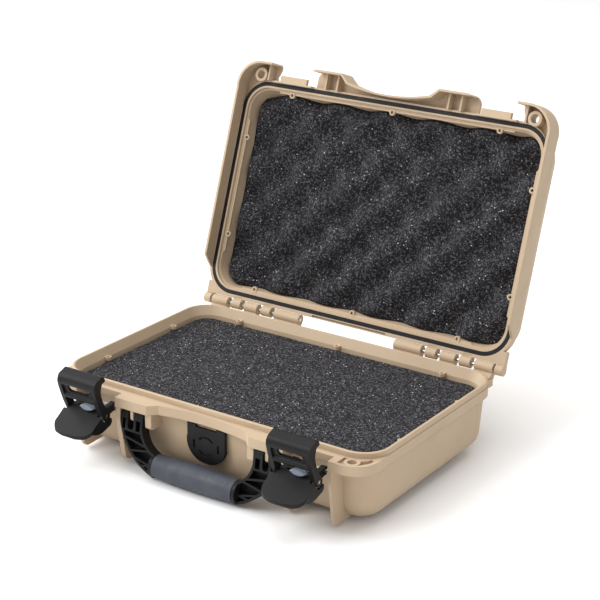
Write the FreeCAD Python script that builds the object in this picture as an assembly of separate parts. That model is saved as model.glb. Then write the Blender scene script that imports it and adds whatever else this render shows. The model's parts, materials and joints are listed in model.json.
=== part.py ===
"""Hard equipment case, stored open, with foam, claw latches and a folding handle.

Frame: origin at the centre of the case's underside, +X to the right, -Y to the front, +Z up, millimetres.
The lid and all that rides on it are drawn closed, then turned open about the hinge pins.
"""
import FreeCAD, Part
import math
import os

V = FreeCAD.Vector
RIGHT = V(1, 0, 0)
BACK = V(0, 1, 0)
UP = V(0, 0, 1)
ORIGIN = V(0, 0, 0)
SIDES = {"left": -1, "right": 1}

# Driving dimensions: the sealing ridge on the base, and the plane where it meets the lid's gasket.
SEAL_Z = 65.0
RIDGE_HALF_X = 152.0
RIDGE_HALF_Y = 96.2
RIDGE_RADIUS = 23.1
RIDGE_WIDTH = 2.4
CLOSED_HEIGHT = 107.0
BODY_GAP = 0.4

# Base shell.
TUB_BOTTOM_Z = 3.2
TUB_BOTTOM_INSET = 5.0
TUB_INSET_X = 2.2
TUB_INSET_Y = 1.4
TUB_EDGE_RADIUS = 19.0
WALL = 3.6
EDGE_RELIEF = 3.6
FLANGE_TOP = SEAL_Z - 4.5
FLANGE_BOTTOM = SEAL_Z - 12.5
FLANGE_PROUD = 0.7
FLOOR_Z = TUB_BOTTOM_Z + EDGE_RELIEF + WALL
STEP_Z = SEAL_Z - 8.0
FLOOR_FILLET = 13.0
HOLLOW_LOW = (144.5, 88.5, 18.5, FLOOR_Z)
HOLLOW_STEP = (147.0, 91.2, 20.0, STEP_Z)
WELL = (108.0, 56.0, 12.0)
FOOT_PANEL = (112.0, 60.0, 14.0)
FOAM_TOP = SEAL_Z - 10.0
FOAM_PAD = (131.0, 75.0, 8.0)
FOAM_PAD_THICK = 6.4
FOAM_LOW = (143.2, 87.4, 17.6, FLOOR_Z + 7.0)
FOAM_HIGH = (146.0, 90.2, 19.4, FOAM_TOP)
SHOULDER_FRONT = 112.4
WALL_FRONT = RIDGE_HALF_Y + RIDGE_WIDTH / 2
BAR_FRONT = 103.0

# Latch bays, handle bays and the ribs between them, as distances from the case's centre plane.
LATCH_X = 102.0
BAY_HALF = 20.0
RIB_OUTER = LATCH_X + BAY_HALF
RIB_INNER = LATCH_X - BAY_HALF
RIB_THICK = 4.6
HANDLE_BAY_INNER = 53.0
BLOCK_THICK = 6.0
FINGER_X = 66.0
FINGER_HALF = 1.4

# Hinge.
HINGE_Y = 105.86
HINGE_Z = SEAL_Z + 1.24
HINGE_PIN_R = 1.6
KNUCKLE_R = 4.6
OPEN_ANGLE = 109.0
RUNNING = 0.06
BASE_KNUCKLES = ((49.5, 76.0), (95.0, 109.0), (128.0, 145.0))
LID_KNUCKLES = ((80.5, 90.5), (113.5, 123.5), (147.0, 154.0))

# Lid.
LID_RIM = SEAL_Z + 0.3
SKIRT_BOTTOM = SEAL_Z - 12.0
BAND_TOP = SEAL_Z + 7.0
SKIRT_OUT = 4.6
SKIRT_WALL = 2.3
LID_FRONT = SHOULDER_FRONT + 2.4
GASKET_WIDTH = 3.6
GASKET_DEEP = 4.0
LID_ROOF = 3.2
SKIRT_END_Y = 66.0
BAND_RADIUS = 27.0
DOME_LOW = (RIDGE_HALF_X + 1.6, RIDGE_HALF_Y + 1.8, 25.0, BAND_TOP - 1.0)
DOME_HIGH = (RIDGE_HALF_X - 7.0, RIDGE_HALF_Y - 6.8, 21.0, CLOSED_HEIGHT)
DOME_FILLET = 15.0
LID_CAVE_LOW = (147.4, 91.6, 19.6, LID_RIM)
LID_CAVE_HIGH = (140.4, 84.8, 17.0, CLOSED_HEIGHT - LID_ROOF - 1.2)
CAVE_FILLET = 11.0
LID_FOAM_FACE = (144.6, 88.8, 18.0, LID_RIM + 6.4)
LID_FOAM_BACK = (139.8, 84.2, 16.4, CLOSED_HEIGHT - LID_ROOF - 1.6)

# Screw eyes for panel frames and the eyes for padlocks.
EYE_ROW_Y = 89.2
EYE_ROW_X = (-105.0, 0.0, 105.0)
EYE_SIDE = (145.0, 45.0)
EYE_HOLE_R = 1.3
EYE_R = 2.7
EYE_REACH = 4.4
BASE_EYES_Z = (FOAM_TOP + 0.5, FOAM_TOP + 3.5)
LID_EYES_Z = (LID_RIM + 2.4, LID_RIM + 5.2)
PADLOCK = (137.7, -103.2)
PADLOCK_HOLE_R = 3.8
PADLOCK_RING_R = 6.4

# Latch: a lever that turns on a pin in the ribs and carries the claw on a second pin.
LEVER_PIVOT = (-106.5, SEAL_Z - 16.0)
CLAW_PIVOT = (-121.5, SEAL_Z - 18.5)
LATCH_PIN_R = 1.5
LEVER_HALF = 14.9
CLAW_LEAN = 20.0
CLAW_IN = 15.6
CLAW_OUT = 19.3
CLAW_HEIGHT = 35.0
CLAW_EYE_R = 4.2
HOOK_REACH = 10.0
HOOK_UNDER = 29.4
PADDLE_HALF = 19.7
PADDLE_TOP = (-125.6, SEAL_Z - 15.1)
PADDLE_SLOPE = 0.655
PADDLE_THICK = 2.6
PADDLE_LIP_Y = -147.6
CATCH_HALF = 14.0
CATCH_FRONT = 105.0
BUTTON_OFFSET = 4.3
BUTTON_HALF = 7.3
BUTTON_STEM = 4.3
BUTTON_LOW = 50.4
BUTTON_HIGH = 56.0
BUTTON_FRONT = -129.4

# Handle, drawn hanging straight down from its pivot, then leaned forward onto the floor.
HANDLE_PIVOT = (-107.0, SEAL_Z - 17.5)
HANDLE_PIN_R = 1.5
ARM_OUT = 76.6
ARM_IN = 54.2
ARM_HALF_DEEP = 4.4
GRIP_DROP = 36.4
GRIP_HALF = 39.0
GRIP_R_END = 9.6
GRIP_R_MID = 10.8
HANDLE_LEAN = 7.9

# Vent in the front wall.
BADGE_HALF = 18.7
BADGE_TOP = SEAL_Z - 13.7
BADGE_BOTTOM = SEAL_Z - 46.0
BADGE_FRONT = -99.9
BADGE_SEAT = -97.1
VENT_Z = SEAL_Z - 31.0
VENT_R = 5.5


# ---------------------------------------------------------------- helpers

def rounded_wire(half_x, half_y, radius, z):
    """A rounded rectangle about the Z axis."""
    edges = []
    corners = ((1, 1, 0), (-1, 1, 90), (-1, -1, 180), (1, -1, 270))
    ends = []
    for sx, sy, start in corners:
        centre = V(sx * (half_x - radius), sy * (half_y - radius), z)
        ends.append([centre + V(radius * math.cos(math.radians(start + turn)),
                                radius * math.sin(math.radians(start + turn)), 0)
                     for turn in (0, 45, 90)])
    for index, (first, middle, last) in enumerate(ends):
        edges.append(Part.Arc(first, middle, last).toShape())
        edges.append(Part.LineSegment(last, ends[(index + 1) % 4][0]).toShape())
    return Part.Wire(edges)


def plate(half_x, half_y, radius, z_low, z_high):
    """A block with rounded vertical corners."""
    face = Part.Face(rounded_wire(half_x, half_y, radius, z_low))
    return face.extrude(V(0, 0, z_high - z_low))


def drafted(low, high):
    """A block whose walls lean between two rounded rectangles, each (half_x, half_y, radius, z)."""
    return Part.makeLoft([rounded_wire(*low), rounded_wire(*high)], True, True)


def box(x0, x1, y0, y1, z0, z1):
    return Part.makeBox(x1 - x0, y1 - y0, z1 - z0, V(x0, y0, z0))


def rod(x0, x1, centre, radius):
    """A round bar along X, its centre given as (y, z)."""
    return Part.makeCylinder(radius, x1 - x0, V(x0, centre[0], centre[1]), RIGHT)


def post(x, y, z0, z1, radius):
    """A round bar along Z."""
    return Part.makeCylinder(radius, z1 - z0, V(x, y, z0), UP)


def outline(to_space, start, *steps):
    """A closed face; a step is a point, or (through, end) for an arc."""
    edges = []
    here = to_space(*start)
    last = steps[-1][1] if isinstance(steps[-1][0], tuple) else steps[-1]
    closing = () if last == start else (start,)
    for step in steps + closing:
        if isinstance(step[0], tuple):
            through, end = to_space(*step[0]), to_space(*step[1])
            edges.append(Part.Arc(here, through, end).toShape())
        else:
            end = to_space(*step)
            edges.append(Part.LineSegment(here, end).toShape())
        here = end
    return Part.Face(Part.Wire(edges))


def side_profile(x0, x1, start, *steps):
    """A (y, z) outline, drawn from the side and made x0 to x1 wide."""
    face = outline(lambda y, z: V(x0, y, z), start, *steps)
    return face.extrude(V(x1 - x0, 0, 0))


def plan_profile(z0, z1, start, *steps):
    """An (x, y) outline, drawn from above and made z0 to z1 tall."""
    face = outline(lambda x, y: V(x, y, z0), start, *steps)
    return face.extrude(V(0, 0, z1 - z0))


def mirrored(shape):
    return shape.mirror(ORIGIN, RIGHT)


def pair(shape):
    return [shape, mirrored(shape)]


def pair_rod(x0, x1, centre, radius):
    return pair(rod(x0, x1, centre, radius))


def fuse(first, others):
    return first.multiFuse(others).removeSplitter()


def turned(shape, angle, centre):
    """A copy turned about +X through (y, z)."""
    copy = shape.copy()
    copy.rotate(V(0, centre[0], centre[1]), RIGHT, angle)
    return copy


def opened(shape):
    return turned(shape, -OPEN_ANGLE, (HINGE_Y, HINGE_Z))


def eye_places():
    rows = [(x, sy * EYE_ROW_Y) for x in EYE_ROW_X for sy in (-1, 1)]
    sides = [(sx * EYE_SIDE[0], sy * EYE_SIDE[1]) for sx in (-1, 1) for sy in (-1, 1)]
    return rows + sides


def eye_lugs(z0, z1, reach):
    """Small lugs standing in from the walls; reach is how far past the eye the lug runs outward."""
    lugs = []
    for x, y in eye_places():
        lugs.append(post(x, y, z0, z1, EYE_R))
        if abs(y) > EYE_ROW_Y - 1:
            near, far = sorted((y, y + math.copysign(reach, y)))
            lugs.append(box(x - EYE_R, x + EYE_R, near, far, z0, z1))
        else:
            near, far = sorted((x, x + math.copysign(reach, x)))
            lugs.append(box(near, far, y - EYE_R, y + EYE_R, z0, z1))
    return lugs


def eye_holes(z0, z1):
    return [post(x, y, z0, z1, EYE_HOLE_R) for x, y in eye_places()]


# ---------------------------------------------------------------- base

def front_flange(z0, z1, grow):
    """The flange in front of the ridge: corner tabs for padlocks and the long middle shoulder."""
    front = -(SHOULDER_FRONT + grow)
    inner = -WALL_FRONT + 3.0
    side = RIDGE_HALF_X + RIDGE_WIDTH / 2 + FLANGE_PROUD + grow
    corner = plan_profile(z0, z1, (RIB_OUTER - grow, inner), (RIB_OUTER - grow, front), (134.0, front),
                          ((148.0 + grow, -106.2 - grow), (side, -88.0)), (side, -71.0), (side - 12.0, -71.0),
                          (RIB_OUTER + 6.0, inner))
    middle = plan_profile(z0, z1, (-RIB_INNER - grow, inner), (-RIB_INNER - grow, front),
                          (-50.0 + grow, front), (-42.5, -105.6 - grow),
                          ((0.0, -100.6 - grow), (42.5, -105.6 - grow)),
                          (50.0 - grow, front), (RIB_INNER + grow, front), (RIB_INNER + grow, inner))
    return fuse(middle, pair(corner))


def rib(x0, x1):
    """A side wall of a latch bay, deepest under the flange and drawn in towards the floor."""
    return side_profile(x0, x1, (-91.5, FLANGE_BOTTOM), (-111.4, FLANGE_BOTTOM), (-111.4, 42.0),
                        (-105.6, 8.0), ((-103.4, 4.2), (-99.0, 3.0)), (-80.0, 3.8), (-80.0, 8.0),
                        (-91.5, 18.0))


def base_knuckle(x0, x1):
    web = side_profile(x0, x1, (97.0, 55.0), (97.0, 60.3), (102.2, 63.6), (HINGE_Y, HINGE_Z),
                       (109.6, 63.6), (103.0, 55.0))
    return web.fuse(rod(x0, x1, (HINGE_Y, HINGE_Z), KNUCKLE_R))


def base_outside():
    half_x = RIDGE_HALF_X + RIDGE_WIDTH / 2
    half_y = WALL_FRONT
    radius = RIDGE_RADIUS + RIDGE_WIDTH / 2
    low = (half_x - TUB_BOTTOM_INSET, half_y - TUB_BOTTOM_INSET, radius - 1.5, TUB_BOTTOM_Z)
    tub = drafted(low, (half_x - TUB_INSET_X, half_y - TUB_INSET_Y, radius, FLANGE_BOTTOM))
    bottom_edges = [e for e in tub.Edges if e.BoundBox.ZMax < TUB_BOTTOM_Z + 0.1]
    tub = tub.makeFillet(TUB_EDGE_RADIUS, bottom_edges)
    ridge = plate(half_x, half_y, radius, FLANGE_BOTTOM - 1.0, SEAL_Z)
    ridge_top = [e for e in ridge.Edges if e.BoundBox.ZMin > SEAL_Z - 0.1]
    ridge = ridge.makeFillet(0.8, ridge_top)
    flange = plate(half_x + FLANGE_PROUD, half_y + FLANGE_PROUD, radius + FLANGE_PROUD,
                   FLANGE_BOTTOM, FLANGE_TOP)
    return fuse(tub, [ridge, flange])


def edge_reliefs():
    """Shallow steps along the bottom edges, leaving a foot at every corner."""
    top = TUB_BOTTOM_Z + EDGE_RELIEF
    reliefs = pair(box(118.0, 160.0, -64.0, 46.0, -1.0, top))
    reliefs.append(box(-74.0, 74.0, -120.0, -66.0, -1.0, top))
    reliefs.append(box(-98.0, 98.0, 66.0, 120.0, -1.0, top))
    return reliefs


def base_hollow():
    inner_x = RIDGE_HALF_X - RIDGE_WIDTH / 2
    inner_y = RIDGE_HALF_Y - RIDGE_WIDTH / 2
    lower = drafted(HOLLOW_LOW, HOLLOW_STEP)
    floor_edges = [e for e in lower.Edges if e.BoundBox.ZMax < FLOOR_Z + 0.1]
    lower = lower.makeFillet(FLOOR_FILLET, floor_edges)
    upper = drafted(HOLLOW_STEP, (inner_x, inner_y, RIDGE_RADIUS - 1.2, SEAL_Z + 0.01))
    well = plate(*WELL, WALL, FLOOR_Z + 0.5)
    return [lower, upper, well]


def base_shell():
    body = base_outside()
    foot_panel = plate(*FOOT_PANEL, 0.0, TUB_BOTTOM_Z + 1.0)
    body = body.cut(Part.makeCompound(edge_reliefs()))
    ribs = []
    for x0, x1 in ((RIB_OUTER, RIB_OUTER + 3.0), (RIB_INNER - RIB_THICK, RIB_INNER)):
        ribs += pair(rib(x0, x1))
    block = side_profile(HANDLE_BAY_INNER - BLOCK_THICK, HANDLE_BAY_INNER, (-91.5, FLANGE_BOTTOM + 0.3),
                         (-109.8, FLANGE_BOTTOM + 0.3), (-109.8, 41.5), ((-109.1, 39.7), (-107.4, 39.0)),
                         (-91.5, 39.0))
    finger_x0 = FINGER_X - FINGER_HALF
    finger = side_profile(finger_x0, FINGER_X + FINGER_HALF, (-91.5, FLANGE_BOTTOM + 1.0),
                          (-110.6, FLANGE_BOTTOM + 1.0), (-110.6, 44.5), ((-108.6, 42.4), (-105.0, 42.0)),
                          (-91.5, 44.0))
    bars = pair(box(RIB_INNER - 1.0, RIB_OUTER + 1.0, -BAR_FRONT, -WALL_FRONT + 2.0, FLANGE_TOP - 6.0,
                    FLANGE_TOP))
    strip = box(-146.0, 146.0, 90.0, 102.4, FLANGE_BOTTOM, FLANGE_TOP - 1.0)
    strip = strip.cut(base_inside_block())
    seat = badge_block(BADGE_SEAT, -90.0, 1.2)
    knuckles = []
    for x0, x1 in BASE_KNUCKLES:
        knuckles += pair(base_knuckle(x0, x1))
    body = fuse(body, [foot_panel, front_flange(FLANGE_BOTTOM, FLANGE_TOP, 0.0), strip, seat]
                + ribs + pair(block) + pair(finger) + bars + knuckles)
    body = body.cut(Part.makeCompound(base_hollow()))
    body = fuse(body, eye_lugs(*BASE_EYES_Z, EYE_REACH))
    holes = eye_holes(FOAM_TOP, FOAM_TOP + 5.0)
    holes += pair_rod(48.0, 79.2, HANDLE_PIVOT, HANDLE_PIN_R)
    holes += pair_rod(80.0, 124.4, LEVER_PIVOT, LATCH_PIN_R)
    holes += pair_rod(48.0, 146.0, (HINGE_Y, HINGE_Z), HINGE_PIN_R)
    holes += pair(post(PADLOCK[0], PADLOCK[1], FLANGE_BOTTOM - 1.0, FLANGE_TOP + 1.0, PADLOCK_HOLE_R))
    holes += pair(padlock_moat())
    holes.append(Part.makeCylinder(VENT_R, 20.0, V(0, -102.0, VENT_Z), BACK))
    return body.cut(Part.makeCompound(holes))


def base_inside_block():
    return plate(149.0, 93.0, 20.0, 0.0, SEAL_Z + 1.0)


def padlock_moat():
    """A shallow recess in the tab's top that leaves the padlock ring standing."""
    floor = FLANGE_TOP - 2.4
    recess = plan_profile(floor, FLANGE_TOP + 1.0, (128.6, -99.4), (128.6, -109.8), (134.5, -109.8),
                          ((145.5, -104.6), (150.4, -93.0)), (147.8, -91.5), ((143.4, -97.6), (136.0, -99.4)))
    return recess.cut(post(PADLOCK[0], PADLOCK[1], floor - 1.0, FLANGE_TOP + 2.0, PADLOCK_RING_R))


# ---------------------------------------------------------------- lid, drawn closed

def lid_brim():
    """The lid's outer band with its front lugs and the skirt that laps over the base's flange."""
    half_x = RIDGE_HALF_X + SKIRT_OUT
    half_y = WALL_FRONT + 2.4
    band = plate(half_x, half_y, BAND_RADIUS, SKIRT_BOTTOM, BAND_TOP)
    inner = -WALL_FRONT + 3.0
    lug = plan_profile(SKIRT_BOTTOM, BAND_TOP, (RIB_OUTER + 1.0, inner), (RIB_OUTER + 3.4, -103.0),
                       (RIB_OUTER + 0.8, -109.0), ((RIB_OUTER + 0.6, -112.6), (RIB_OUTER + 1.6, -LID_FRONT)),
                       (134.4, -LID_FRONT), ((149.6, -108.6), (half_x, -88.0)), (half_x, -71.0),
                       (half_x - 12.0, -71.0))
    middle = plan_profile(SKIRT_BOTTOM, BAND_TOP, (-RIB_INNER, inner), (-RIB_INNER, -108.0),
                          ((-79.6, -112.6), (-75.0, -LID_FRONT)), (-49.0, -LID_FRONT),
                          (-41.0, -107.8), ((0.0, -102.6), (41.0, -107.8)), (49.0, -LID_FRONT),
                          (75.0, -LID_FRONT), ((79.6, -112.6), (RIB_INNER, -108.0)), (RIB_INNER, inner))
    back = box(-154.0, 154.0, 90.0, 101.2, LID_RIM, BAND_TOP - 2.0)
    return fuse(band, [middle, back] + pair(lug))


def lug_webs():
    """Thin webs inside the hollow lugs, and the padlock ring."""
    low = FLANGE_TOP + 0.5
    webs = [box(x - 0.9, x + 0.9, -LID_FRONT + 1.0, -99.0, low, BAND_TOP - 1.0)
            for x in (56.0, 68.0, 129.4)]
    webs.append(post(PADLOCK[0], PADLOCK[1], low, BAND_TOP - 1.0, PADLOCK_RING_R))
    shapes = []
    for web in webs:
        shapes += pair(web)
    return shapes


def lid_dome():
    dome = drafted(DOME_LOW, DOME_HIGH)
    top_edges = [e for e in dome.Edges if e.BoundBox.ZMin > CLOSED_HEIGHT - 0.1]
    dome = dome.makeFillet(DOME_FILLET, top_edges)
    return dome.cut(plate(112.0, 60.6, 14.0, CLOSED_HEIGHT - 1.2, CLOSED_HEIGHT + 1.0))


def lid_hollow():
    mouth = plate(148.5, 92.7, 20.4, SKIRT_BOTTOM - 1.0, LID_RIM + 2.5)
    cave = drafted(LID_CAVE_LOW, LID_CAVE_HIGH)
    roof_edges = [e for e in cave.Edges if e.BoundBox.ZMin > LID_CAVE_HIGH[3] - 0.1]
    return [mouth, cave.makeFillet(CAVE_FILLET, roof_edges)]


def foam_strips():
    """Strips that hold the lid foam, along the straight walls and bevelled at their ends."""
    z0, z1 = LID_RIM + 3.0, LID_RIM + 5.6
    long_strip = plan_profile(z0, z1, (-121.0, 92.5), (-118.0, 89.5), (118.0, 89.5), (121.0, 92.5))
    short_strip = plan_profile(z0, z1, (148.5, -64.0), (145.3, -61.0), (145.3, 61.0), (148.5, 64.0))
    return [long_strip, long_strip.mirror(ORIGIN, BACK)] + pair(short_strip)


def lid_knuckle(x0, x1):
    web = side_profile(x0, x1, (98.5, LID_RIM + 0.3), (98.5, BAND_TOP - 2.0), (104.4, HINGE_Z + 4.2),
                       (HINGE_Y, HINGE_Z), (101.8, LID_RIM + 0.3))
    return web.fuse(rod(x0, x1, (HINGE_Y, HINGE_Z), KNUCKLE_R))


def hinge_clearances():
    """Room around the base's knuckles, and pockets moulded in the back edge between them."""
    rooms = []
    for x0, x1 in BASE_KNUCKLES:
        rooms += pair(rod(x0 - 0.8, x1 + 0.8, (HINGE_Y, HINGE_Z), KNUCKLE_R + BODY_GAP))
    for x0, x1 in LID_KNUCKLES[:2]:
        middle = (x0 + x1) / 2
        rooms += pair(box(middle - 3.6, middle + 3.6, 99.2, 100.5, LID_RIM - 1.0, LID_RIM + 2.0))
    rooms.append(box(-38.0, 38.0, 99.0, 100.4, LID_RIM - 1.0, LID_RIM + 2.4))
    return rooms


def lid_shell():
    void_top = BAND_TOP - 2.4
    brim = lid_brim()
    lug_room = front_flange(SKIRT_BOTTOM - 1.0, void_top, BODY_GAP)
    wall_keep = plate(RIDGE_HALF_X + 2.0, WALL_FRONT + 2.4, BAND_RADIUS, LID_RIM, BAND_TOP + 1.0)
    lug_room = lug_room.cut(wall_keep)
    ridge_room = plate(RIDGE_HALF_X + 2.3, WALL_FRONT + 0.9, RIDGE_RADIUS + 2.1, SKIRT_BOTTOM - 1.0, LID_RIM)
    brim = brim.cut(Part.makeCompound([lug_room]))
    webs = [web.cut(plate(148.0, 93.0, 20.0, 0.0, BAND_TOP + 5.0)) for web in lug_webs()]
    brim = fuse(brim, webs).cut(ridge_room)
    bay = plan_profile(SKIRT_BOTTOM - 1.0, FLANGE_TOP + 0.3, (RIB_INNER - 0.2, -93.0),
                       (RIB_INNER - 0.2, -104.0),
                       (RIB_OUTER + 0.4, -104.0), (RIB_OUTER + 0.4, -93.0))
    tab_room = front_flange(SKIRT_BOTTOM - 2.0, FLANGE_TOP + 0.4, BODY_GAP)
    back_room = box(-180.0, 180.0, 90.0, 140.0, SKIRT_BOTTOM - 1.0, LID_RIM)
    skirt_end = side_profile(-180.0, 180.0, (SKIRT_END_Y, SKIRT_BOTTOM - 1.0), (SKIRT_END_Y + 12.0, LID_RIM),
                             (120.0, LID_RIM), (120.0, SKIRT_BOTTOM - 1.0))
    brim = brim.cut(Part.makeCompound(pair(bay)))
    for room in (tab_room, back_room, skirt_end):
        brim = brim.cut(room)
    catches = pair(box(LATCH_X - CATCH_HALF, LATCH_X + CATCH_HALF, -CATCH_FRONT, -98.4,
                       FLANGE_TOP + 0.3, FLANGE_TOP + 3.7))
    knuckles = []
    for x0, x1 in LID_KNUCKLES:
        knuckles += pair(lid_knuckle(x0, x1))
    body = fuse(brim, [lid_dome()] + catches)
    body = body.cut(Part.makeCompound(hinge_clearances()))
    body = fuse(body, knuckles)
    for hollow in lid_hollow():
        body = body.cut(hollow)
    body = fuse(body, foam_strips() + eye_lugs(*LID_EYES_Z, EYE_REACH))
    holes = eye_holes(LID_RIM, LID_RIM + 6.5)
    holes += pair(post(PADLOCK[0], PADLOCK[1], FLANGE_TOP, BAND_TOP + 2.0, PADLOCK_HOLE_R))
    holes += pair_rod(48.0, 152.0, (HINGE_Y, HINGE_Z), HINGE_PIN_R + RUNNING)
    holes.append(gasket_ring(LID_RIM - 0.01, LID_RIM + GASKET_DEEP))
    return opened(body.cut(Part.makeCompound(holes)))


def gasket_ring(z0, z1):
    half = GASKET_WIDTH / 2
    outer = plate(RIDGE_HALF_X + half, RIDGE_HALF_Y + half, RIDGE_RADIUS + half, z0, z1)
    inner = plate(RIDGE_HALF_X - half, RIDGE_HALF_Y - half, RIDGE_RADIUS - half, z0 - 1.0, z1 + 1.0)
    return outer.cut(inner)


def lid_gasket():
    return opened(gasket_ring(LID_RIM, LID_RIM + GASKET_DEEP))


def lid_foam():
    body = drafted(LID_FOAM_FACE, LID_FOAM_BACK)
    top_edges = [e for e in body.Edges if e.BoundBox.ZMin > LID_FOAM_BACK[3] - 0.1]
    return opened(body.makeFillet(CAVE_FILLET, top_edges))


# ---------------------------------------------------------------- foam in the base

def base_foam_pad():
    z0 = FLOOR_Z + 0.3
    return plate(*FOAM_PAD, z0, z0 + FOAM_PAD_THICK)


def base_foam_block():
    block = drafted(FOAM_LOW, FOAM_HIGH)
    rooms = [post(x, y, FOAM_TOP - 8.0, FOAM_TOP + 1.0, EYE_R + 0.8) for x, y in eye_places()]
    rooms.append(Part.makeCylinder(10.0, 8.0, V(0, -92.0, VENT_Z), BACK))
    return block.cut(Part.makeCompound(rooms))


# ---------------------------------------------------------------- vent in the front wall

def badge_block(y0, y1, inset):
    """The vent cover's shield outline, drawn from the front."""
    half = BADGE_HALF - inset
    top = BADGE_TOP - inset
    low = BADGE_BOTTOM + inset
    face = outline(lambda x, z: V(x, y0, z), (-half, top), (half, top), (half, low + 13.0),
                   ((half * 0.72, low + 4.6), (0.0, low)), ((-half * 0.72, low + 4.6), (-half, low + 13.0)))
    return face.extrude(V(0, y1 - y0, 0))


def vent_badge():
    body = badge_block(BADGE_FRONT, BADGE_SEAT, 0.0)
    front_edges = [e for e in body.Edges if e.BoundBox.YMax < BADGE_FRONT + 0.1]
    body = body.makeFillet(0.9, front_edges)
    notch = box(-10.0, 10.0, BADGE_FRONT - 1.0, BADGE_SEAT + 1.0, BADGE_TOP - 2.6, BADGE_TOP + 1.0)
    cuts = [notch]
    for side in (-1, 1):
        cuts.append(box(side * 11.8 - 0.9, side * 11.8 + 0.9, BADGE_FRONT - 1.0, BADGE_SEAT + 1.0,
                        VENT_Z - 3.6, VENT_Z + 3.6))
    return body.cut(Part.makeCompound(cuts + [vent_slots()]))


def vent_slots():
    """Two curved breathing slots, above and below the vent's centre."""
    outer = Part.makeCylinder(8.6, 1.4, V(0, BADGE_FRONT - 0.01, VENT_Z), BACK)
    ring = outer.cut(Part.makeCylinder(7.0, 3.0, V(0, BADGE_FRONT - 1.0, VENT_Z), BACK))
    return ring.cut(box(-9.0, 9.0, BADGE_FRONT - 1.0, BADGE_SEAT, VENT_Z - 4.6, VENT_Z + 4.6))


def vent_body():
    y0 = BADGE_SEAT
    stem = Part.makeCylinder(VENT_R - 0.05, 11.0, V(0, y0, VENT_Z), BACK)
    bore = Part.makeCylinder(3.4, 11.0, V(0, y0 + 2.0, VENT_Z), BACK)
    return stem.cut(bore)


def vent_membrane():
    return Part.makeCylinder(3.4, 0.6, V(0, BADGE_SEAT + 2.0, VENT_Z), BACK)


def vent_nut():
    y0 = -88.6
    nut = Part.makeCylinder(8.6, 2.6, V(0, y0, VENT_Z), BACK)
    return nut.cut(Part.makeCylinder(VENT_R, 4.0, V(0, y0 - 1.0, VENT_Z), BACK))


# ---------------------------------------------------------------- pins

def hinge_pin(side):
    pin = rod(49.5, 151.0, (HINGE_Y, HINGE_Z), HINGE_PIN_R)
    return pin if side > 0 else mirrored(pin)


def handle_pin(side):
    pin = rod(48.2, 79.0, HANDLE_PIVOT, HANDLE_PIN_R)
    return pin if side > 0 else mirrored(pin)


def lever_pin(side):
    pin = rod(80.2, 124.2, LEVER_PIVOT, LATCH_PIN_R)
    return pin if side > 0 else mirrored(pin)


def claw_pin(side):
    x = side * LATCH_X
    return rod(x - CLAW_OUT + 0.3, x + CLAW_OUT - 0.3, CLAW_PIVOT, LATCH_PIN_R)


# ---------------------------------------------------------------- latches, drawn open

def latch_lever(side):
    """Two arms on the rib pin, and a broad flat paddle with side walls that is pulled by a thumb."""
    x = side * LATCH_X
    deck_z = PADDLE_TOP[1] + 1.1
    arm = side_profile(x - LEVER_HALF, x + LEVER_HALF, (-106.9, 52.0), (-119.0, deck_z), (-124.2, deck_z),
                       PADDLE_TOP, (-126.2, 46.4), (-122.4, 42.9), (-119.5, 42.7), (-106.1, 46.0))
    arm = arm.fuse(rod(x - LEVER_HALF, x + LEVER_HALF, LEVER_PIVOT, 3.5))
    arm = arm.cut(box(x - 10.6, x + 10.6, -119.2, -100.0, 40.0, 60.0))
    walls = []
    for wall_side in (-1, 1):
        outer = x + wall_side * PADDLE_HALF
        inner = outer - wall_side * 2.8
        walls.append(side_profile(min(outer, inner), max(outer, inner), (-140.6, 38.2), (-127.0, 47.0),
                                  (-116.4, 43.4), ((-115.9, 40.6), (-118.6, 37.4)), (-127.0, 34.8),
                                  ((-134.6, 35.0), (-140.6, 37.2))))
    body = fuse(arm, [paddle_plate(x)] + walls)
    holes = [rod(x - 30.0, x + 30.0, LEVER_PIVOT, LATCH_PIN_R + RUNNING)]
    holes.append(rod(x - 30.0, x + 30.0, CLAW_PIVOT, LATCH_PIN_R))
    holes.append(box(x - 9.4, x + BUTTON_OFFSET + BUTTON_STEM + BODY_GAP, -124.2, -121.7, 48.4, 60.0))
    holes += [cheek_room(x + wall_side * (CLAW_IN + CLAW_OUT) / 2) for wall_side in (-1, 1)]
    return body.cut(Part.makeCompound(holes))


def cheek_room(x):
    """The room a claw's cheek sweeps beside the lever, from leaning furthest out to shut."""
    half = (CLAW_OUT - CLAW_IN) / 2 + 0.45
    round_room = rod(x - half, x + half, CLAW_PIVOT, CLAW_EYE_R + 1.0)
    y, z = CLAW_PIVOT
    leaning = box(x - half, x + half, y - CLAW_EYE_R - 1.2, y + CLAW_EYE_R, z, z + 12.0)
    return round_room.fuse(turned(leaning, CLAW_LEAN + 15.0, CLAW_PIVOT))


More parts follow.
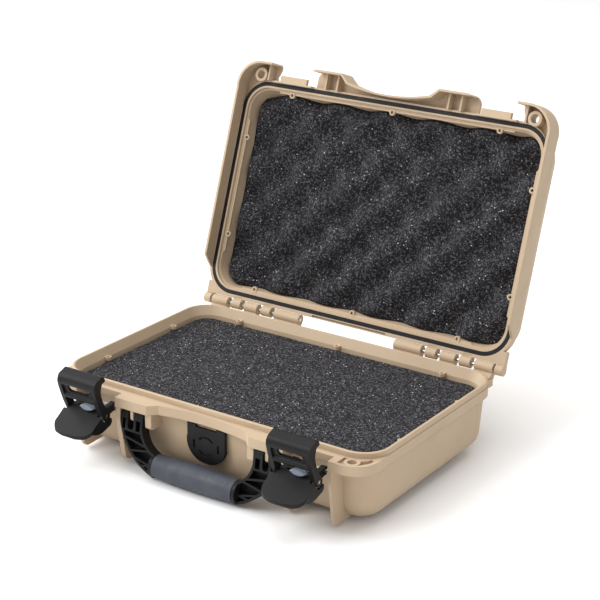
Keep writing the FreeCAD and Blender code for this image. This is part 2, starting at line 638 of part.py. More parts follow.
def paddle_plate(x):
    """The thumb plate, sloping out and down, its lip bowed and its corners rounded."""
    top_y, top_z = PADDLE_TOP
    low_y = PADDLE_LIP_Y - 1.0
    low_z = top_z + PADDLE_SLOPE * (low_y - top_y)
    length = math.hypot(low_y - top_y, low_z - top_z)
    down = (PADDLE_THICK * (top_z - low_z) / length, -PADDLE_THICK * (top_y - low_y) / length)
    slab = side_profile(x - PADDLE_HALF, x + PADDLE_HALF, (top_y, top_z),
                        (((top_y + low_y) / 2, (top_z + low_z) / 2 - 0.5), (low_y, low_z)),
                        (low_y + down[0], low_z + down[1]),
                        (((top_y + low_y) / 2 + down[0], (top_z + low_z) / 2 - 0.5 + down[1]),
                         (top_y + down[0], top_z + down[1])))
    half, lip = PADDLE_HALF, PADDLE_LIP_Y
    shape = plan_profile(10.0, 70.0, (x - half, top_y + 4.0), (x - half, lip + 8.2),
                         ((x - half + 2.4, lip + 4.0), (x - half + 7.6, lip + 1.5)),
                         ((x, lip), (x + half - 7.6, lip + 1.5)),
                         ((x + half - 2.4, lip + 4.0), (x + half, lip + 8.2)), (x + half, top_y + 4.0))
    return slab.common(shape)


def latch_claw(side):
    """A frame with a hook on top for the lid's catch, drawn upright on its pin, then leaned out."""
    x = side * LATCH_X
    y, z = CLAW_PIVOT
    top = z + CLAW_HEIGHT
    under = z + HOOK_UNDER
    reach = y + HOOK_REACH
    cheek_steps = ((y - CLAW_EYE_R, z), ((y, z - CLAW_EYE_R), (y + CLAW_EYE_R, z)),
                   ((y + 1.6, z + 9.0), (y + 1.0, z + 18.0)), ((y + 2.4, z + 25.0), (y + 6.0, under)),
                   (reach, under), (reach, top - 2.4), ((reach - 1.2, top - 0.6), (reach - 4.0, top)),
                   (y + 2.6, top), ((y - 2.9, top - 2.2), (y - 4.7, top - 7.0)),
                   ((y - 5.2, z + 16.0), (y - CLAW_EYE_R, z)))
    cheeks = [side_profile(min(x + s * CLAW_IN, x + s * CLAW_OUT), max(x + s * CLAW_IN, x + s * CLAW_OUT),
                           *cheek_steps) for s in (-1, 1)]
    inner0, inner1 = x - CLAW_IN - 0.2, x + CLAW_IN + 0.2
    hook = side_profile(inner0, inner1, (y - 4.7, top - 7.0), (y - 0.5, under - 0.6), (y + 6.0, under),
                        (reach, under), (reach, top - 2.4), ((reach - 1.2, top - 0.6), (reach - 4.0, top)),
                        (y + 2.6, top), ((y - 2.9, top - 2.2), (y - 4.7, top - 7.0)))
    front = box(inner0, inner1, y - 3.2, y - 0.8, z + 15.0, under)
    crossbar = rod(inner0, inner1, (y - 2.6, z + 16.2), 2.8)
    body = fuse(front, [hook, crossbar] + cheeks)
    window = box(x - 11.2, x + 11.2, y - 8.0, y + 4.0, z + 20.4, z + 28.4)
    corners = [edge for edge in window.Edges if edge.BoundBox.YLength > 5.0]
    window = window.makeFillet(2.4, corners)
    pin_hole = rod(x - 30.0, x + 30.0, CLAW_PIVOT, LATCH_PIN_R + RUNNING)
    return turned(body.cut(Part.makeCompound([window, pin_hole])), CLAW_LEAN, CLAW_PIVOT)


def slide_lock(side):
    """A lens-shaped button on a foot that slides along a slot in the lever's deck."""
    x = side * LATCH_X
    middle, half = x + BUTTON_OFFSET, BUTTON_HALF
    low, high = BUTTON_LOW, BUTTON_HIGH
    face = outline(lambda px, pz: V(px, BUTTON_FRONT, pz), (middle - half, (low + high) / 2),
                   ((middle, high), (middle + half, (low + high) / 2)),
                   ((middle, low), (middle - half, (low + high) / 2)))
    button = face.extrude(V(0, 3.4, 0))
    front_edges = [e for e in button.Edges if e.BoundBox.YMax < BUTTON_FRONT + 0.1]
    button = button.makeFillet(1.2, front_edges)
    stem = box(middle - BUTTON_STEM, middle + BUTTON_STEM, -126.2, -122.0, 51.4, 54.2)
    foot = box(middle - BUTTON_STEM, middle + BUTTON_STEM, -123.9, -122.0, 48.8, 52.0)
    return fuse(button, [stem, foot])


# ---------------------------------------------------------------- handle, drawn hanging straight down

def arm_face(inset):
    """The right arm from the front, as (x, drop below the pivot)."""
    pivot_y, pivot_z = HANDLE_PIVOT
    face = outline(lambda x, drop: V(x, pivot_y - ARM_HALF_DEEP, pivot_z - drop),
                   (ARM_OUT, 0.0), (ARM_OUT, 7.0), ((67.4, 27.6), (GRIP_HALF + 0.4, 46.0)),
                   (GRIP_HALF + 0.4, 27.4), ((50.6, 18.6), (ARM_IN, 4.0)), (ARM_IN, 0.0))
    return face if inset == 0 else face.makeOffset2D(-inset)


def handle_arm():
    pivot_y, pivot_z = HANDLE_PIVOT
    depth = V(0, 2 * ARM_HALF_DEEP, 0)
    solid = arm_face(0).extrude(depth)
    pocket = arm_face(2.2).extrude(V(0, 2 * ARM_HALF_DEEP - 2.2, 0))
    pocket.translate(V(0, -0.01, 0))
    keep = [box(ARM_IN - 1.0, ARM_OUT + 1.0, pivot_y - 10.0, pivot_y + 10.0, pivot_z - 13.5, pivot_z + 1.0)]
    for drop, slope in ((20.0, 4.0), (27.0, -4.0), (33.0, 5.0), (39.0, -3.0)):
        keep.append(outline(lambda x, z: V(x, pivot_y - ARM_HALF_DEEP - 1.0, z),
                            (38.0, pivot_z - drop - slope), (80.0, pivot_z - drop + slope),
                            (80.0, pivot_z - drop + slope - 1.6),
                            (38.0, pivot_z - drop - slope - 1.6)).extrude(V(0, 12.0, 0)))
    pocket = pocket.cut(Part.makeCompound(keep))
    eye = rod(ARM_IN, ARM_OUT, HANDLE_PIVOT, ARM_HALF_DEEP)
    collar = rod(GRIP_HALF + 0.4, GRIP_HALF + 3.4, (pivot_y, pivot_z - GRIP_DROP), GRIP_R_END - 0.2)
    solid = fuse(solid.cut(pocket), [eye, collar])
    slot = side_slot()
    hollow = [box(ARM_IN + 2.2, FINGER_X - 5.2, pivot_y - 8.0, pivot_y + 1.6, pivot_z - 12.0, pivot_z - 3.4),
              box(FINGER_X + 5.2, ARM_OUT - 2.2, pivot_y - 8.0, pivot_y + 1.6, pivot_z - 12.0, pivot_z - 3.4)]
    bore = rod(ARM_IN - 1.0, ARM_OUT + 1.0, HANDLE_PIVOT, HANDLE_PIN_R + RUNNING)
    return solid.cut(Part.makeCompound([slot, bore] + hollow))


def side_slot():
    """The notch that lets the arm straddle the moulded finger."""
    pivot_y, pivot_z = HANDLE_PIVOT
    half = 2.9
    upper = box(FINGER_X - half, FINGER_X + half, pivot_y - 10.0, pivot_y + 10.0, pivot_z - 9.0, pivot_z + 8.0)
    lower = Part.makeCylinder(half, 20.0, V(FINGER_X, pivot_y - 10.0, pivot_z - 9.0), BACK)
    return upper.fuse(lower)


def handle_frame():
    arm = handle_arm()
    core = rod(-GRIP_HALF - 1.0, GRIP_HALF + 1.0, (HANDLE_PIVOT[0], HANDLE_PIVOT[1] - GRIP_DROP), 5.0)
    return turned(fuse(core, pair(arm)), -HANDLE_LEAN, HANDLE_PIVOT)


def handle_grip():
    """A barrel-shaped rubber sleeve over the frame's core."""
    y, z = HANDLE_PIVOT[0], HANDLE_PIVOT[1] - GRIP_DROP
    start, end = V(-GRIP_HALF, y, z), V(GRIP_HALF, y, z)
    swell = Part.Arc(start + V(0, 0, GRIP_R_END), V(0, y, z + GRIP_R_MID), end + V(0, 0, GRIP_R_END))
    edges = [Part.LineSegment(start, start + V(0, 0, GRIP_R_END)).toShape(), swell.toShape(),
             Part.LineSegment(end + V(0, 0, GRIP_R_END), end).toShape(),
             Part.LineSegment(end, start).toShape()]
    sleeve = Part.Face(Part.Wire(edges)).revolve(start, RIGHT, 360.0)
    sleeve = sleeve.cut(rod(-GRIP_HALF - 1.0, GRIP_HALF + 1.0, (y, z), 5.0))
    return turned(sleeve, -HANDLE_LEAN, HANDLE_PIVOT)


# ---------------------------------------------------------------- write the parts

def all_parts():
    parts = {
        "base_shell": base_shell(),
        "lid_shell": lid_shell(),
        "lid_gasket": lid_gasket(),
        "lid_foam": lid_foam(),
        "base_foam_pad": base_foam_pad(),
        "base_foam_block": base_foam_block(),
        "vent_badge": vent_badge(),
        "vent_body": vent_body(),
        "vent_membrane": vent_membrane(),
        "vent_nut": vent_nut(),
        "handle_frame": handle_frame(),
        "handle_grip": handle_grip(),
    }
    for name, side in SIDES.items():
        parts["hinge_pin_" + name] = hinge_pin(side)
        parts["handle_pin_" + name] = handle_pin(side)
        parts["latch_lever_" + name] = latch_lever(side)
        parts["latch_claw_" + name] = latch_claw(side)
        parts["slide_lock_" + name] = slide_lock(side)
        parts["lever_pin_" + name] = lever_pin(side)
        parts["claw_pin_" + name] = claw_pin(side)
    return parts


os.makedirs("parts", exist_ok=True)
for node, shape in all_parts().items():
    bounds = shape.BoundBox
    print("%-18s solids %d valid %s volume %9.0f  x %.1f %.1f  y %.1f %.1f  z %.1f %.1f" % (
        node, len(shape.Solids), shape.isValid(), shape.Volume, bounds.XMin, bounds.XMax,
        bounds.YMin, bounds.YMax, bounds.ZMin, bounds.ZMax))
    shape.exportStep("parts/" + node + ".step")
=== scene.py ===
"""The hard equipment case's looks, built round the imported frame: materials, foam, light and camera."""
import json
import math

import bmesh
import bpy
from mathutils import Matrix, Vector, noise


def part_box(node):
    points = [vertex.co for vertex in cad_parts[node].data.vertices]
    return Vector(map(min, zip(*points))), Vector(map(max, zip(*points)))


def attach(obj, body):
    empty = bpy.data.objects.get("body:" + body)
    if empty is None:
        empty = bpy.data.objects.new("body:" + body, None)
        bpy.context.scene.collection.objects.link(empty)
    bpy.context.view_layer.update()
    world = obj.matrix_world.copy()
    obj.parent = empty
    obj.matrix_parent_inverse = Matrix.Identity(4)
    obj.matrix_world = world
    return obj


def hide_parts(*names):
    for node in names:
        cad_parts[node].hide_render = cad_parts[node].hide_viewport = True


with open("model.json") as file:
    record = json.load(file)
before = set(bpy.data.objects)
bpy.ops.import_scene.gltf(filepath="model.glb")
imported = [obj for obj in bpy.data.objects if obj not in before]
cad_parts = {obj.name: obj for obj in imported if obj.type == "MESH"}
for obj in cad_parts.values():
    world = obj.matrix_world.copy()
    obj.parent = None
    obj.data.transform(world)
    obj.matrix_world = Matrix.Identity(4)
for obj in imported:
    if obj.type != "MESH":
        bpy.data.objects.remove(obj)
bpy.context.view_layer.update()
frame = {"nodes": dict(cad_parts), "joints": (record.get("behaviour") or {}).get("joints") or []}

MM = 0.001

# The hinge the lid turns on; its limit is how far the lid stands open at rest.
LID_HINGE = next(joint for joint in frame["joints"] if joint["name"] == "lid_hinge")
HINGE = Vector(LID_HINGE["pos_m"])
OPEN_ANGLE = math.radians(max(LID_HINGE["range_deg"]))
LID_OPEN = (Matrix.Translation(HINGE) @ Matrix.Rotation(-OPEN_ANGLE, 4, "X")
            @ Matrix.Translation(-HINGE))

# Egg-crate foam: the peaks' spacing and depth, and where the first peaks stand.
CRATE_PITCH = 49.5 * MM
CRATE_DEPTH = 14.5 * MM
CRATE_SHIFT_X = math.radians(64.7)
CRATE_SHIFT_Y = math.radians(-44.9)
CRATE_SHARPNESS = 1.15

# All the foam slabs: the face's grid, the rounding of its edge, and the rings of faces down each side.
FOAM_STEP = 2.2 * MM
FOAM_EDGE = 1.6 * MM
FOAM_RINGS = 8
RAGGED_SLICE = 3.7
FLAT_SINK = 0.4 * MM
LID_FOAM_RADIUS = 18 * MM
LID_FOAM_TAPER = 5 * MM
BASE_FOAM_RADIUS = 19 * MM
BASE_FOAM_TAPER = 3 * MM
PAD_RADIUS = 8 * MM
NUT_ROOM = 7.5 * MM
NUT_GAP = 1 * MM

FLOOR_REACH = 6.0
FLOOR_TONE = (0.93, 0.93, 0.93, 1)
FLOOR_ROUGHNESS = 0.75
LIGHTS_AIM = (0.0, 0.0, 0.1)
SKY_STRENGTH = 0.72

# The camera: lens, sensor and farthest sight, then where it stands and what it is turned to.
CAMERA_LENS = 100.95
CAMERA_SENSOR = 36.0
CAMERA_FAR = 50.0
CAMERA_AZIMUTH = math.radians(33.795)
CAMERA_ELEVATION = math.radians(20.203)
CAMERA_ROLL = math.radians(0.71)
CAMERA_DISTANCE = 1.38
LOOK_AT = Vector((0.0093, 0.0169, 0.1245))


# ---------------------------------------------------------------- materials

class Shader:
    """A small wrapper that adds nodes to one material and joins them up."""

    def __init__(self, name):
        self.material = bpy.data.materials.new(name)
        self.material.use_nodes = True
        self.tree = self.material.node_tree
        self.surface = self.tree.nodes["Principled BSDF"]
        self.place = self.add("ShaderNodeTexCoord").outputs["Object"]

    def add(self, kind, **values):
        node = self.tree.nodes.new(kind)
        for key, value in values.items():
            setattr(node, key, value)
        return node

    def link(self, source, target):
        self.tree.links.new(source, target)

    def noise(self, size, detail=2.0, roughness=0.5):
        """Noise whose blotches are about `size` metres across."""
        node = self.add("ShaderNodeTexNoise")
        node.inputs["Scale"].default_value = 1.0 / size
        node.inputs["Detail"].default_value = detail
        node.inputs["Roughness"].default_value = roughness
        self.link(self.place, node.inputs["Vector"])
        return node.outputs["Fac"]

    def cells(self, size):
        """Random cells about `size` metres across."""
        node = self.add("ShaderNodeTexVoronoi")
        node.inputs["Scale"].default_value = 1.0 / size
        self.link(self.place, node.inputs["Vector"])
        return node

    def ramp(self, source, stops):
        """A colour ramp; each stop is (place, colour)."""
        node = self.add("ShaderNodeValToRGB")
        elements = node.color_ramp.elements
        while len(elements) < len(stops):
            elements.new(0.5)
        for element, (place, colour) in zip(elements, stops):
            element.position = place
            element.color = (*colour, 1.0)
        self.link(source, node.inputs["Fac"])
        return node.outputs["Color"]

    def remap(self, source, low, high, out_low, out_high):
        """Take the span low to high into out_low to out_high, held at the ends."""
        node = self.add("ShaderNodeMapRange")
        ends = {"From Min": low, "From Max": high, "To Min": out_low, "To Max": out_high}
        for key, value in ends.items():
            node.inputs[key].default_value = value
        self.link(source, node.inputs["Value"])
        return node.outputs["Result"]

    def mix(self, factor, first, second):
        """From first to second by the factor; each is a colour or another node's output."""
        node = self.add("ShaderNodeMix", data_type="RGBA")
        self.link(factor, node.inputs["Factor"])
        for key, value in (("A", first), ("B", second)):
            socket = next(s for s in node.inputs if s.name == key and s.type == "RGBA")
            if isinstance(value, tuple):
                socket.default_value = (*value, 1.0)
            else:
                self.link(value, socket)
        return next(s for s in node.outputs if s.type == "RGBA")

    def bump(self, source, height, strength, under=None):
        """A relief of the given height, laid over the normal `under` where there is one."""
        node = self.add("ShaderNodeBump")
        node.inputs["Distance"].default_value = height
        node.inputs["Strength"].default_value = strength
        self.link(source, node.inputs["Height"])
        if under is not None:
            self.link(under, node.inputs["Normal"])
        return node.outputs["Normal"]

    def soft_edges(self, radius):
        """The surface's normal with its sharp edges rounded off."""
        node = self.add("ShaderNodeBevel", samples=4)
        node.inputs["Radius"].default_value = radius
        return node.outputs["Normal"]

    def edge_wear(self, rounded):
        """1 where the rounded normal turns away from the real one, broken up by noise."""
        across = self.add("ShaderNodeVectorMath", operation="DOT_PRODUCT")
        self.link(rounded, across.inputs[0])
        self.link(self.add("ShaderNodeNewGeometry").outputs["Normal"], across.inputs[1])
        edges = self.remap(across.outputs["Value"], 0.99, 0.80, 0.0, 1.0)
        patches = self.remap(self.noise(9 * MM, 4.0), 0.45, 0.62, 0.0, 1.0)
        node = self.add("ShaderNodeMath", operation="MULTIPLY")
        self.link(edges, node.inputs[0])
        self.link(patches, node.inputs[1])
        return node.outputs["Value"]

    def finish(self, colour, roughness, normal):
        self.link(colour, self.surface.inputs["Base Color"])
        self.link(roughness, self.surface.inputs["Roughness"])
        self.link(normal, self.surface.inputs["Normal"])
        return self.material


def moulded(name, dark, light, worn, grain, grain_height, roughness, shine=0.5, edge=0.6 * MM):
    """Moulded plastic: slow colour drift, fine spark-eroded grain and paler rubbed edges."""
    shader = Shader(name)
    drift = shader.ramp(shader.noise(60 * MM, 4.0), ((0.3, dark), (0.7, light)))
    fleck = shader.remap(shader.noise(0.5 * MM, 2.0), 0.35, 0.65, 0.0, 0.22)
    speckled = shader.mix(fleck, drift, dark)
    rounded = shader.soft_edges(edge)
    wear = shader.remap(shader.edge_wear(rounded), 0.0, 1.0, 0.0, 0.40)
    colour = shader.mix(wear, speckled, worn)
    patchy = shader.remap(shader.noise(14 * MM, 5.0), 0.3, 0.7, *roughness)
    shader.surface.inputs["Specular IOR Level"].default_value = shine
    broad = shader.bump(shader.noise(22 * MM, 2.0), 0.12 * MM, 0.35, rounded)
    grained = shader.bump(shader.noise(grain, 3.0, 0.6), grain_height, 0.7, broad)
    return shader.finish(colour, patchy, grained)


def tan_plastic():
    return moulded("tan_plastic_matte", dark=(0.447, 0.334, 0.222), light=(0.492, 0.374, 0.254),
                   worn=(0.60, 0.47, 0.34), grain=0.7 * MM, grain_height=0.05 * MM,
                   roughness=(0.50, 0.64), shine=0.4)


def black_plastic():
    return moulded("black_plastic_satin", dark=(0.0048, 0.0046, 0.0052), light=(0.0085, 0.0082, 0.0090),
                   worn=(0.040, 0.039, 0.041), grain=0.6 * MM, grain_height=0.035 * MM,
                   roughness=(0.38, 0.54), shine=0.20, edge=0.5 * MM)


def slide_plastic():
    return moulded("slide_grey_satin", dark=(0.125, 0.155, 0.195), light=(0.165, 0.20, 0.245),
                   worn=(0.30, 0.34, 0.38), grain=0.5 * MM, grain_height=0.02 * MM,
                   roughness=(0.32, 0.48))


def grip_rubber():
    """Soft over-moulded rubber with faint scuffs running round the barrel."""
    shader = Shader("grip_rubber_blue_grey")
    dark, light = (0.032, 0.036, 0.050), (0.048, 0.053, 0.072)
    drift = shader.ramp(shader.noise(16 * MM, 5.0), ((0.35, dark), (0.7, light)))
    scuffs = shader.add("ShaderNodeTexNoise")
    stretch = shader.add("ShaderNodeMapping")
    stretch.inputs["Scale"].default_value = (900.0, 90.0, 90.0)
    shader.link(shader.place, stretch.inputs["Vector"])
    scuffs.inputs["Scale"].default_value = 1.0
    scuffs.inputs["Detail"].default_value = 3.0
    shader.link(stretch.outputs["Vector"], scuffs.inputs["Vector"])
    mark = shader.remap(scuffs.outputs["Fac"], 0.58, 0.72, 0.0, 0.35)
    colour = shader.mix(mark, drift, (0.12, 0.13, 0.15))
    roughness = shader.remap(shader.noise(7 * MM, 4.0), 0.3, 0.7, 0.48, 0.66)
    fine = shader.bump(shader.noise(0.6 * MM, 3.0), 0.05 * MM, 0.6)
    return shader.finish(colour, roughness, shader.bump(scuffs.outputs["Fac"], 0.10 * MM, 0.5, fine))


def seal_rubber():
    """Smooth black rubber with a slow change of tone."""
    shader = Shader("seal_rubber_black")
    dark, light = (0.006, 0.006, 0.006), (0.012, 0.012, 0.012)
    colour = shader.ramp(shader.noise(12 * MM, 4.0), ((0.35, dark), (0.7, light)))
    shader.surface.inputs["Specular IOR Level"].default_value = 0.25
    roughness = shader.remap(shader.noise(5 * MM, 3.0), 0.3, 0.7, 0.42, 0.62)
    return shader.finish(colour, roughness, shader.bump(shader.noise(0.5 * MM, 2.0), 0.03 * MM, 0.5))


def foam():
    """Open-cell foam: grey struts, painted shade in the pores and painted highlights where a few struts
    catch the light.
    """
    shader = Shader("foam_charcoal")
    pores = shader.cells(1.2 * MM)
    small = shader.noise(0.9 * MM, 3.0, 0.65)
    pore_shade, wall = (0.002, 0.002, 0.003), (0.016, 0.015, 0.018)
    # Painted shade: the middle of each pore is darkened to stand for the shade inside the open cells.
    base = shader.ramp(pores.outputs["Distance"], ((0.15, pore_shade), (0.75, wall)))
    grain = shader.cells(1.15 * MM)
    tone = shader.add("ShaderNodeSeparateColor")
    shader.link(grain.outputs["Color"], tone.inputs["Color"])
    lit_cells = shader.remap(tone.outputs["Green"], 0.60, 1.0, 0.0, 1.0)
    grainy = shader.mix(lit_cells, base, (0.125, 0.122, 0.132))
    mottled = shader.mix(shader.remap(small, 0.42, 0.66, 0.0, 0.35), grainy, (0.030, 0.029, 0.033))
    shade = shader.remap(shader.noise(6 * MM, 3.0), 0.35, 0.7, 0.0, 0.35)
    cloud = shader.mix(shade, mottled, (0.012, 0.012, 0.014))
    # Painted highlights: grey glints in some cells and near-white glints in a rare few, standing for
    # light caught on strut tips.
    painted_glints = shader.mix(glints(shader, 1.0 * MM, 0.86, 0.97), cloud, (0.24, 0.24, 0.25))
    colour = shader.mix(glints(shader, 1.3 * MM, 0.975, 0.992), painted_glints, (0.90, 0.90, 0.92))
    roughness = shader.remap(small, 0.3, 0.7, 0.80, 1.0)
    shader.surface.inputs["Specular IOR Level"].default_value = 0.2
    deep = shader.bump(pores.outputs["Distance"], 0.5 * MM, 0.8)
    return shader.finish(colour, roughness, shader.bump(small, 0.4 * MM, 0.8, deep))


def glints(shader, size, low, high):
    """A painted highlight: a bright middle in a few of the cells, picked by each cell's random colour.
    """
    cells = shader.cells(size)
    centre = shader.remap(cells.outputs["Distance"], 0.45, 0.20, 0.0, 1.0)
    chosen = shader.add("ShaderNodeSeparateColor")
    shader.link(cells.outputs["Color"], chosen.inputs["Color"])
    rare = shader.remap(chosen.outputs["Red"], low, high, 0.0, 1.0)
    both = shader.add("ShaderNodeMath", operation="MULTIPLY")
    shader.link(centre, both.inputs[0])
    shader.link(rare, both.inputs[1])
    return both.outputs["Value"]


def pin_steel():
    """Drawn steel wire: bright, with faint marks."""
    shader = Shader("pin_steel")
    shader.surface.inputs["Metallic"].default_value = 1.0
    dull, bright = (0.46, 0.44, 0.42), (0.62, 0.60, 0.58)
    colour = shader.ramp(shader.noise(4 * MM, 3.0), ((0.3, dull), (0.7, bright)))
    roughness = shader.remap(shader.noise(1.5 * MM, 3.0), 0.3, 0.7, 0.24, 0.42)
    return shader.finish(colour, roughness, shader.bump(shader.noise(0.4 * MM, 2.0), 0.02 * MM, 0.5))


def membrane():
    """Felted white breathing membrane."""
    shader = Shader("membrane_white")
    grey, white = (0.60, 0.60, 0.58), (0.74, 0.74, 0.72)
    colour = shader.ramp(shader.noise(0.5 * MM, 4.0), ((0.3, grey), (0.7, white)))
    roughness = shader.remap(shader.noise(1 * MM, 2.0), 0.3, 0.7, 0.75, 0.95)
    return shader.finish(colour, roughness, shader.bump(shader.noise(0.25 * MM, 3.0), 0.05 * MM, 0.6))


def dress(node, material):
    """Give a node from the CAD its one material."""
    mesh_object = frame["nodes"][node]
    mesh_object.data.materials.clear()
    mesh_object.data.materials.append(material)


# ---------------------------------------------------------------- foam

def square_to_round(along, across, radius):
    """Move a point of a square corner, measured from the arc's centre, into the quarter disc."""
    u, v = along / radius, across / radius
    return radius * u * math.sqrt(1 - v * v / 2), radius * v * math.sqrt(1 - u * u / 2)


def into_rounded(x, y, half_x, half_y, radius):
    """Move a point of a plain rectangle into the same rectangle with rounded corners."""
    past_x, past_y = abs(x) - (half_x - radius), abs(y) - (half_y - radius)
    if past_x > 0 and past_y > 0:
        past_x, past_y = square_to_round(past_x, past_y, radius)
        x = math.copysign(half_x - radius + past_x, x)
        y = math.copysign(half_y - radius + past_y, y)
    return x, y


def foam_slab(name, half_x, half_y, radius, face_z, back_z, taper, height):
    """A closed foam slab, centred on the origin, with a fine grid for its face.

    height(x, y) is how far the face sinks towards the back. The back's half widths are `taper` smaller
    than the face's.
    """
    count_x = round(2 * half_x / FOAM_STEP)
    count_y = round(2 * half_y / FOAM_STEP)
    inward = 1.0 if back_z > face_z else -1.0
    mesh = bmesh.new()

    def grid_place(row, column):
        return -half_x + 2 * half_x * column / count_x, -half_y + 2 * half_y * row / count_y

    def ring_point(x, y, shrink, z):
        rx, ry = into_rounded(x, y, half_x, half_y, radius)
        return mesh.verts.new((rx * (1 - shrink / half_x), ry * (1 - shrink / half_y), z))

    face = []
    for row in range(count_y + 1):
        points = []
        for column in range(count_x + 1):
            x, y = grid_place(row, column)
            edge = min(half_x - abs(x), half_y - abs(y))
            fall = max(0.0, 1 - edge / (2 * FOAM_EDGE))
            sink = height(x, y) + FOAM_EDGE * (1 - math.sqrt(max(0.0, 1 - fall * fall)))
            points.append(ring_point(x, y, 0.0, face_z + inward * sink))
        face.append(points)
    for row in range(count_y):
        for column in range(count_x):
            corners = [face[row][column], face[row][column + 1], face[row + 1][column + 1],
                       face[row + 1][column]]
            mesh.faces.new(corners if inward < 0 else corners[::-1])

    rim = [(row, 0) for row in range(count_y)]
    rim += [(count_y, column) for column in range(count_x)]
    rim += [(row, count_x) for row in range(count_y, 0, -1)]
    rim += [(0, column) for column in range(count_x, 0, -1)]
    rings = [[face[row][column] for row, column in rim]]
    for level in range(1, FOAM_RINGS + 1):
        share = level / FOAM_RINGS
        ring = []
        for row, column in rim:
            x, y = grid_place(row, column)
            start = face[row][column].co.z
            ring.append(ring_point(x, y, taper * share, start + (back_z - start) * share))
        rings.append(ring)
    size = len(rim)
    for upper, lower in zip(rings, rings[1:]):
        for index in range(size):
            after = (index + 1) % size
            corners = [upper[index], lower[index], lower[after], upper[after]]
            mesh.faces.new(corners if inward > 0 else corners[::-1])
    mesh.faces.new(rings[-1] if inward > 0 else rings[-1][::-1])
    bmesh.ops.recalc_face_normals(mesh, faces=mesh.faces)
    data = bpy.data.meshes.new(name)
    mesh.to_mesh(data)
    mesh.free()
    for polygon in data.polygons:
        polygon.use_smooth = True
    piece = bpy.data.objects.new(name, data)
    bpy.context.scene.collection.objects.link(piece)
    return piece


def ragged(x, y, scale, amount):
    """Smooth noise over the face, its lumps about `scale` across and `amount` high."""
    return amount * noise.noise(Vector((x / scale, y / scale, RAGGED_SLICE)))


def crate_height(x, y):
    """Peaks and hollows in diagonal rows."""
    wave = (math.cos(2 * math.pi * x / CRATE_PITCH + CRATE_SHIFT_X)
            * math.cos(2 * math.pi * y / CRATE_PITCH + CRATE_SHIFT_Y))
    depth = 0.5 - 0.5 * wave
    return CRATE_DEPTH * depth ** CRATE_SHARPNESS + ragged(x, y, 5 * MM, 0.5 * MM)


def flat_height(x, y):
    """A sawn face: nearly flat, with a slow swell and a finer tooth."""
    return FLAT_SINK + ragged(x, y, 18 * MM, 0.35 * MM) + ragged(x, y, 4 * MM, 0.12 * MM)


def closed_box(node):
    """A lid node's box as it is when the lid is shut."""
    points = [LID_OPEN.inverted() @ vertex.co for vertex in frame["nodes"][node].data.vertices]
    low = Vector([min(p[axis] for p in points) for axis in range(3)])
    high = Vector([max(p[axis] for p in points) for axis in range(3)])
    return low, high


def lid_foam(material):
    low, high = closed_box("lid_foam")
    piece = foam_slab("egg_crate_foam", high.x, high.y, LID_FOAM_RADIUS, low.z, high.z, LID_FOAM_TAPER,
                      crate_height)
    piece.data.transform(LID_OPEN)
    piece.data.materials.append(material)
    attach(piece, "lid")
    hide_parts("lid_foam")


def dent_round(piece, node, room, gap):
    """Push the front wall of a slab back where a fixed part stands against it."""
    low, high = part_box(node)
    wall_y = high[1] + gap
    for vertex in piece.data.vertices:
        point = vertex.co
        beside = low[0] - room < point.x < high[0] + room
        level_with = low[2] - room < point.z < high[2] + room
        if beside and level_with and point.y < wall_y:
            point.y = wall_y


def base_foam(material):
    low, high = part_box("base_foam_block")
    piece = foam_slab("cut_foam_block", high[0], high[1], BASE_FOAM_RADIUS, high[2], low[2],
                      BASE_FOAM_TAPER, flat_height)
    dent_round(piece, "vent_nut", NUT_ROOM, NUT_GAP)
    piece.data.materials.append(material)
    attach(piece, "base")
    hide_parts("base_foam_block")


def base_pad(material):
    low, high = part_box("base_foam_pad")
    piece = foam_slab("foam_pad", high[0], high[1], PAD_RADIUS, high[2], low[2], 0.0, flat_height)
    piece.data.materials.append(material)
    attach(piece, "base")
    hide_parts("base_foam_pad")


# ---------------------------------------------------------------- stage

def floor():
    data = bpy.data.meshes.new("floor")
    reach = FLOOR_REACH
    corners = [(-reach, -reach, 0), (reach, -reach, 0), (reach, reach, 0), (-reach, reach, 0)]
    data.from_pydata(corners, [], [(0, 1, 2, 3)])
    plane = bpy.data.objects.new("floor", data)
    bpy.context.scene.collection.objects.link(plane)
    material = bpy.data.materials.new("floor_pale")
    material.use_nodes = True
    surface = material.node_tree.nodes["Principled BSDF"]
    surface.inputs["Base Color"].default_value = FLOOR_TONE
    surface.inputs["Roughness"].default_value = FLOOR_ROUGHNESS
    data.materials.append(material)


def area_light(name, place, size, power):
    """A soft round lamp turned to the case."""
    data = bpy.data.lights.new(name, "AREA")
    data.shape = "DISK"
    data.size = size
    data.energy = power
    light = bpy.data.objects.new(name, data)
    light.location = place
    direction = Vector(LIGHTS_AIM) - Vector(place)
    light.rotation_euler = direction.to_track_quat("-Z", "Y").to_euler()
    bpy.context.scene.collection.objects.link(light)


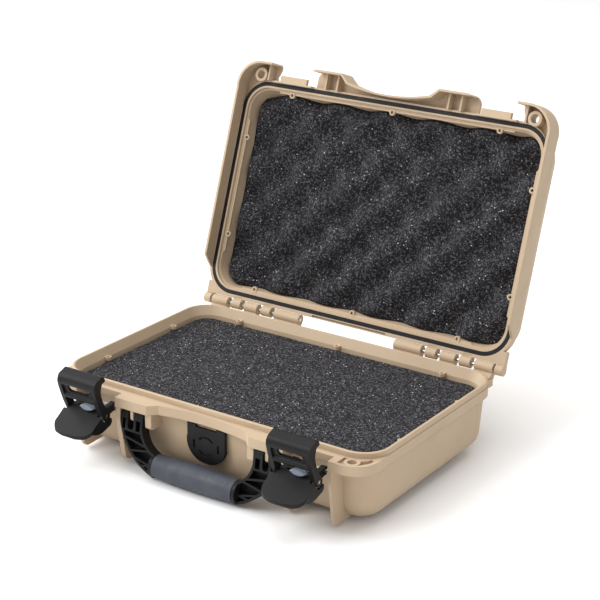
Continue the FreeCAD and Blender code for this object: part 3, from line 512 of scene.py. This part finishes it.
def lights():
    area_light("key_soft", (-0.9, -1.5, 1.7), size=1.2, power=24)
    area_light("top_soft", (-0.1, 0.3, 2.2), size=2.4, power=26)
    area_light("left_fill", (-2.2, -0.2, 0.9), size=2.0, power=50)
    world = bpy.data.worlds.new("studio")
    world.use_nodes = True
    background = world.node_tree.nodes["Background"]
    background.inputs["Color"].default_value = (1.0, 1.0, 1.0, 1)
    background.inputs["Strength"].default_value = SKY_STRENGTH
    bpy.context.scene.world = world


def camera():
    """A long lens; the angles are measured from straight in front of the case."""
    data = bpy.data.cameras.new("camera")
    data.lens = CAMERA_LENS
    data.sensor_width = CAMERA_SENSOR
    data.clip_end = CAMERA_FAR
    view = bpy.data.objects.new("camera", data)
    back = Vector((math.sin(CAMERA_AZIMUTH) * math.cos(CAMERA_ELEVATION),
                   -math.cos(CAMERA_AZIMUTH) * math.cos(CAMERA_ELEVATION), math.sin(CAMERA_ELEVATION)))
    turn = back.to_track_quat("Z", "Y").to_matrix().to_4x4() @ Matrix.Rotation(CAMERA_ROLL, 4, "Z")
    view.matrix_world = Matrix.Translation(LOOK_AT + CAMERA_DISTANCE * back) @ turn
    bpy.context.scene.collection.objects.link(view)
    bpy.context.scene.camera = view


# ---------------------------------------------------------------- the whole scene

def dress_nodes():
    """One material for each node that is carried over from the CAD."""
    black = black_plastic()
    steel = pin_steel()
    tan = tan_plastic()
    grey = slide_plastic()
    finishes = {"base_shell": tan, "lid_shell": tan, "lid_gasket": seal_rubber(), "vent_badge": black,
                "vent_body": black, "vent_nut": black, "vent_membrane": membrane(),
                "handle_frame": black, "handle_grip": grip_rubber()}
    for side in ("left", "right"):
        finishes["latch_lever_" + side] = black
        finishes["latch_claw_" + side] = black
        finishes["slide_lock_" + side] = grey
        for pin in ("hinge_pin_", "handle_pin_", "lever_pin_", "claw_pin_"):
            finishes[pin + side] = steel
    for node, material in finishes.items():
        dress(node, material)


dress_nodes()
foam_material = foam()
lid_foam(foam_material)
base_foam(foam_material)
base_pad(foam_material)
floor()
lights()
camera()
bpy.context.scene.view_settings.view_transform = "Standard"
